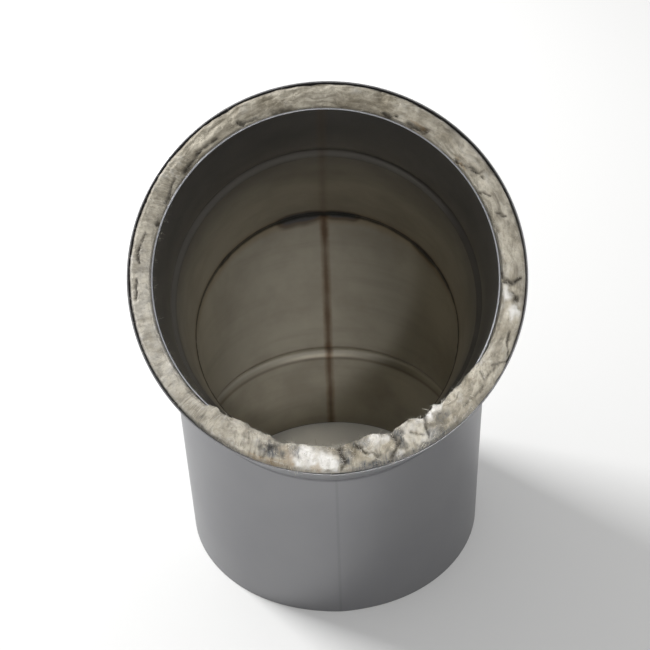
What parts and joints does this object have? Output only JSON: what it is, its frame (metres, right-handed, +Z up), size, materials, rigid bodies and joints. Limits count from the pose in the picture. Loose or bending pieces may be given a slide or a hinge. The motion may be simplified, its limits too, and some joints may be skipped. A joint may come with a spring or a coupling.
{
  "type": "double-wall flue elbow",
  "caption": "Insulated flue elbow: a mitred sheet jacket round a stainless liner with widened, beaded ends and mineral wool packed between.",
  "frame": {"origin": "centre of the liner's lower end, on the floor that the elbow stands on", "axes": "+Z up the lower leg's axis, -Y towards the side that the upper leg leans to, X across the bend's plane"},
  "size_m": [0.18, 0.254, 0.306],
  "materials": {
    "jacket": "smooth dull sheet, grey",
    "liner": "mill-finish stainless, heat-tinted at the welds",
    "wool": "grey-beige mineral wool, matted fibres"
  },
  "bodies": {
    "root": {"jacket_lower": "jacket", "jacket_upper": "jacket", "liner_lower": "liner", "liner_upper": "liner", "wool_lower": "wool", "wool_upper": "wool"}
  },
  "joints": []
}
